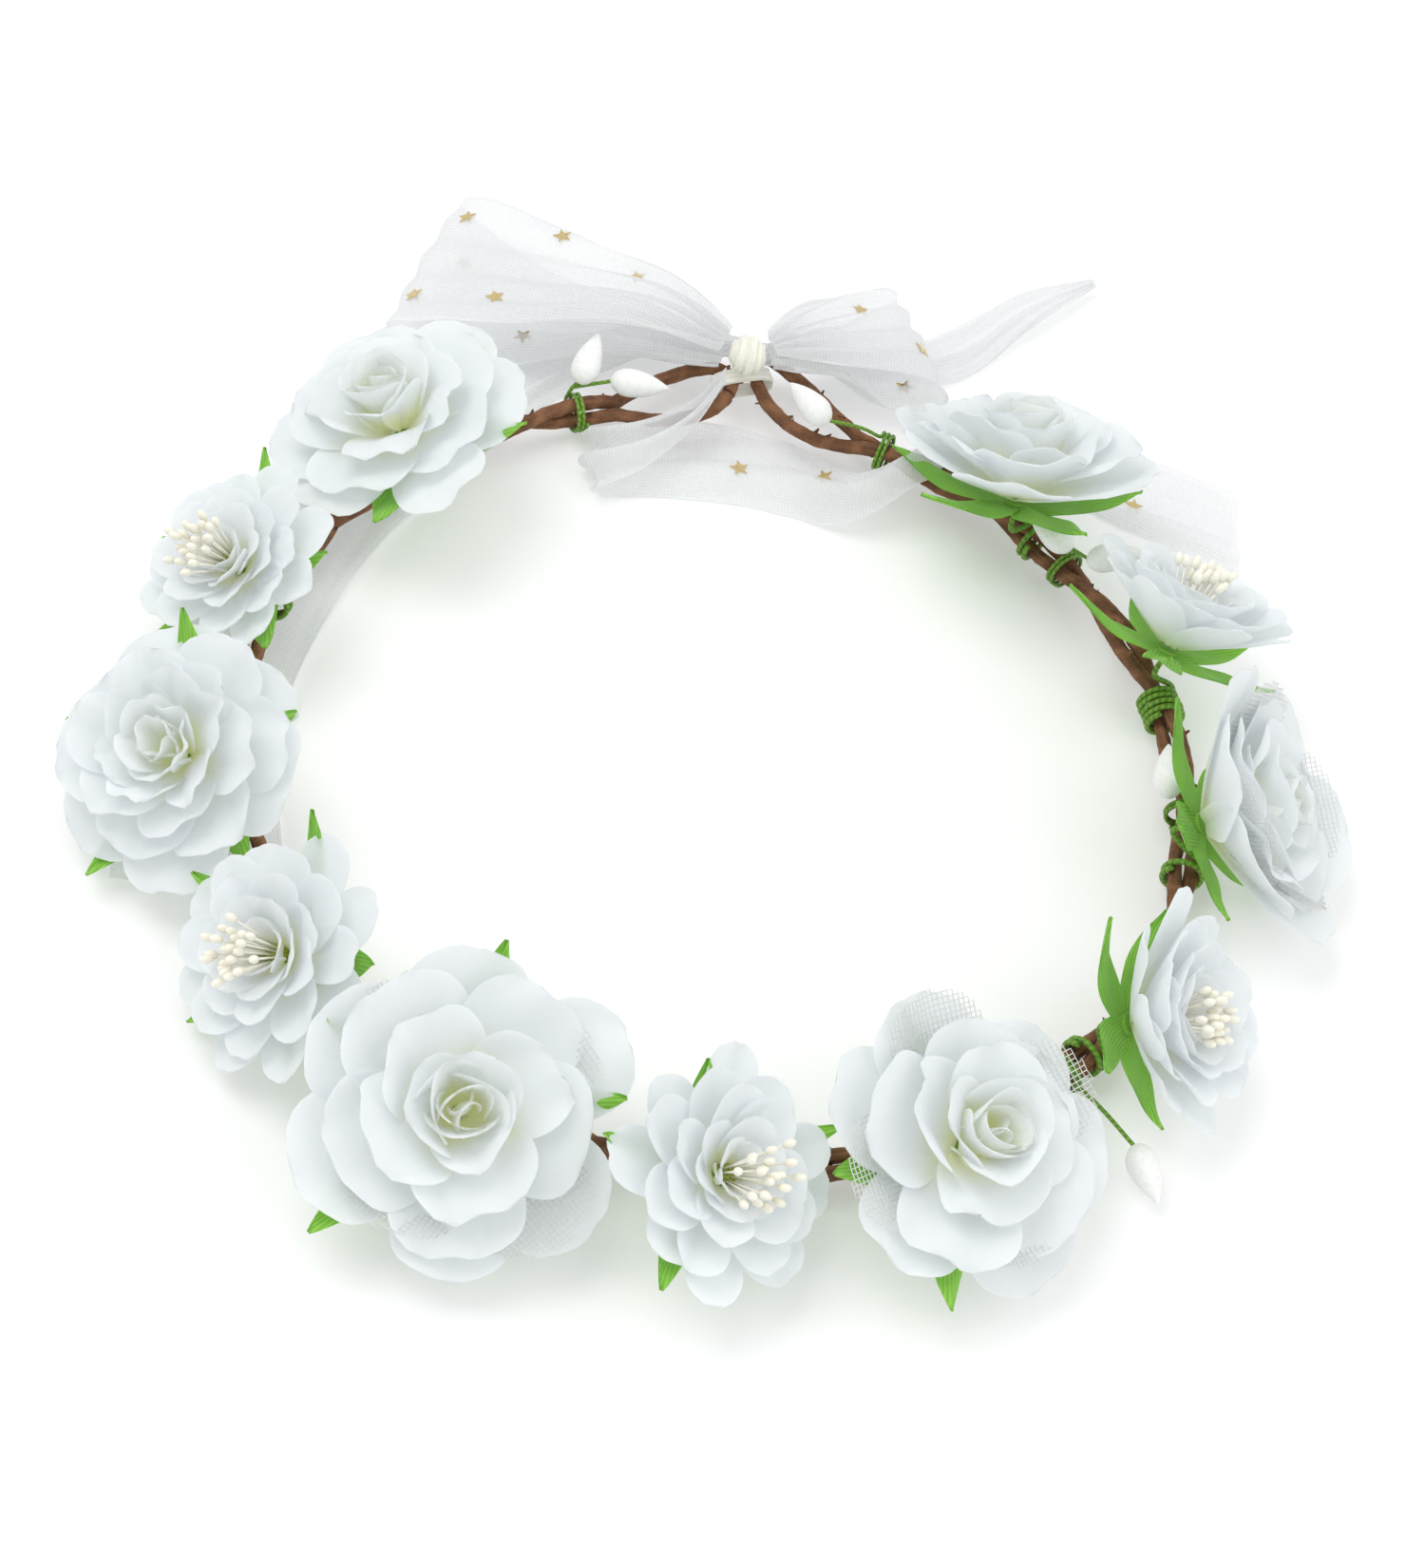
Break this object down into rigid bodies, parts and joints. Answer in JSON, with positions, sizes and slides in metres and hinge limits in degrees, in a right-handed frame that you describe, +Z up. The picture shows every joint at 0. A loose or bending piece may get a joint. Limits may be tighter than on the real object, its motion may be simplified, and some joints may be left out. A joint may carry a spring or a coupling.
{
  "type": "flower crown",
  "caption": "Bridal flower crown: twisted paper-wrapped wire ring with white fabric roses and blossoms, foam buds and an organza bow tied through its end eyes.",
  "frame": {"origin": "centre of the head ring, on the surface that the crown lies on", "axes": "+Z up out of the ring, +Y towards the tied ribbon at the back, +X to the wearer's right when the tie is at the back"},
  "size_m": [0.2369, 0.276, 0.0435],
  "materials": {
    "vine_paper": "crinkled dark brown floral paper tape wound on wire",
    "steel_wire": "bare drawn wire",
    "petal_fabric": "cool white pressed polyester, matt",
    "heart_fabric": "white pressed polyester with a faint cream tint",
    "leaf_fabric": "bright green ribbed fabric",
    "stamen": "cream filaments with pearly tips",
    "green_wire": "green paper-covered binding wire",
    "foam_bud": "white foam, satin",
    "organza": "sheer white organza with small pale gold foil stars"
  },
  "bodies": {
    "root": {"vine_wrap_outer": "vine_paper", "wire_core_outer": "steel_wire", "vine_wrap_inner": "vine_paper", "wire_core_inner": "steel_wire", "rose_1_stem": "green_wire", "blossom_1_stem": "green_wire", "rose_2_stem": "green_wire", "blossom_2_stem": "green_wire", "rose_3_stem": "green_wire", "blossom_3_stem": "green_wire", "rose_4_stem": "green_wire", "blossom_4_stem": "green_wire", "rose_5_stem": "green_wire", "blossom_5_stem": "green_wire", "rose_6_stem": "green_wire", "bud_sprig_1": "foam_bud", "bud_sprig_2": "foam_bud", "bud_sprig_3": "foam_bud", "bud_sprig_4": "foam_bud", "bud_sprig_5": "foam_bud", "ribbon_tie": "organza", "ribbon_knot": "organza", "ribbon_tail_right": "organza", "ribbon_tail_left": "organza"},
    "rose_1": {"rose_1_calyx": "leaf_fabric", "rose_1_petals": "petal_fabric", "rose_1_heart": "heart_fabric"},
    "blossom_1": {"blossom_1_calyx": "leaf_fabric", "blossom_1_petals": "petal_fabric", "blossom_1_stamens": "stamen"},
    "rose_2": {"rose_2_calyx": "leaf_fabric", "rose_2_petals": "petal_fabric", "rose_2_heart": "heart_fabric"},
    "blossom_2": {"blossom_2_calyx": "leaf_fabric", "blossom_2_petals": "petal_fabric", "blossom_2_stamens": "stamen"},
    "rose_3": {"rose_3_calyx": "leaf_fabric", "rose_3_petals": "petal_fabric", "rose_3_heart": "heart_fabric"},
    "blossom_3": {"blossom_3_calyx": "leaf_fabric", "blossom_3_petals": "petal_fabric", "blossom_3_stamens": "stamen"},
    "rose_4": {"rose_4_calyx": "leaf_fabric", "rose_4_petals": "petal_fabric", "rose_4_heart": "heart_fabric"},
    "blossom_4": {"blossom_4_calyx": "leaf_fabric", "blossom_4_petals": "petal_fabric", "blossom_4_stamens": "stamen"},
    "rose_5": {"rose_5_calyx": "leaf_fabric", "rose_5_petals": "petal_fabric", "rose_5_heart": "heart_fabric"},
    "blossom_5": {"blossom_5_calyx": "leaf_fabric", "blossom_5_petals": "petal_fabric", "blossom_5_stamens": "stamen"},
    "rose_6": {"rose_6_calyx": "leaf_fabric", "rose_6_petals": "petal_fabric", "rose_6_heart": "heart_fabric"},
    "bow_loop_left": {"bow_loop_left": "organza"},
    "bow_loop_right": {"bow_loop_right": "organza", "ribbon_tail_short": "organza"}
  },
  "joints": [
    {"name": "rose_1_tilt", "type": "hinge", "parent": "root", "child": "rose_1", "pos_m": [-0.06688, 0.06022, 0.01405], "axis": [-0.6691, -0.7431, 0], "range_deg": [-10, 10]},
    {"name": "blossom_1_tilt", "type": "hinge", "parent": "root", "child": "blossom_1", "pos_m": [-0.09195, 0.01954, 0.01405], "axis": [-0.2079, -0.9781, 0], "range_deg": [-10, 10]},
    {"name": "rose_2_tilt", "type": "hinge", "parent": "root", "child": "rose_2", "pos_m": [-0.09563, -0.02562, 0.01405], "axis": [0.2588, -0.9659, 0], "range_deg": [-10, 10]},
    {"name": "blossom_2_tilt", "type": "hinge", "parent": "root", "child": "blossom_2", "pos_m": [-0.07021, -0.06547, 0.01305], "axis": [0.682, -0.7314, 0], "range_deg": [-10, 10]},
    {"name": "rose_3_tilt", "type": "hinge", "parent": "root", "child": "rose_3", "pos_m": [-0.04149, -0.09318, 0.01405], "axis": [0.9135, -0.4067, 0], "range_deg": [-10, 10]},
    {"name": "blossom_3_tilt", "type": "hinge", "parent": "root", "child": "blossom_3", "pos_m": [0.00175, -0.09999, 0.01405], "axis": [0.9998, 0.0175, 0], "range_deg": [-10, 10]},
    {"name": "rose_4_tilt", "type": "hinge", "parent": "root", "child": "rose_4", "pos_m": [0.04449, -0.08732, 0.01405], "axis": [0.891, 0.454, 0], "range_deg": [-10, 10]},
    {"name": "blossom_4_tilt", "type": "hinge", "parent": "root", "child": "blossom_4", "pos_m": [0.07507, -0.05657, 0.01505], "axis": [0.6018, 0.7986, 0], "range_deg": [-10, 10]},
    {"name": "rose_5_tilt", "type": "hinge", "parent": "root", "child": "rose_5", "pos_m": [0.08951, -0.00941, 0.01605], "axis": [0.1045, 0.9945, 0], "range_deg": [-10, 10]},
    {"name": "blossom_5_tilt", "type": "hinge", "parent": "root", "child": "blossom_5", "pos_m": [0.08589, 0.03297, 0.01405], "axis": [-0.3584, 0.9336, 0], "range_deg": [-10, 10]},
    {"name": "rose_6_tilt", "type": "hinge", "parent": "root", "child": "rose_6", "pos_m": [0.05592, 0.06665, 0.01405], "axis": [-0.766, 0.6428, 0], "range_deg": [-10, 10]},
    {"name": "bow_loop_left_lift", "type": "hinge", "parent": "root", "child": "bow_loop_left", "pos_m": [-0.00111, 0.09968, 0.01541], "axis": [0.2924, 0.9563, 0], "range_deg": [0, 35]},
    {"name": "bow_loop_right_lift", "type": "hinge", "parent": "root", "child": "bow_loop_right", "pos_m": [-0.00111, 0.09968, 0.01541], "axis": [0.4067, -0.9135, 0], "range_deg": [0, 35]}
  ]
}
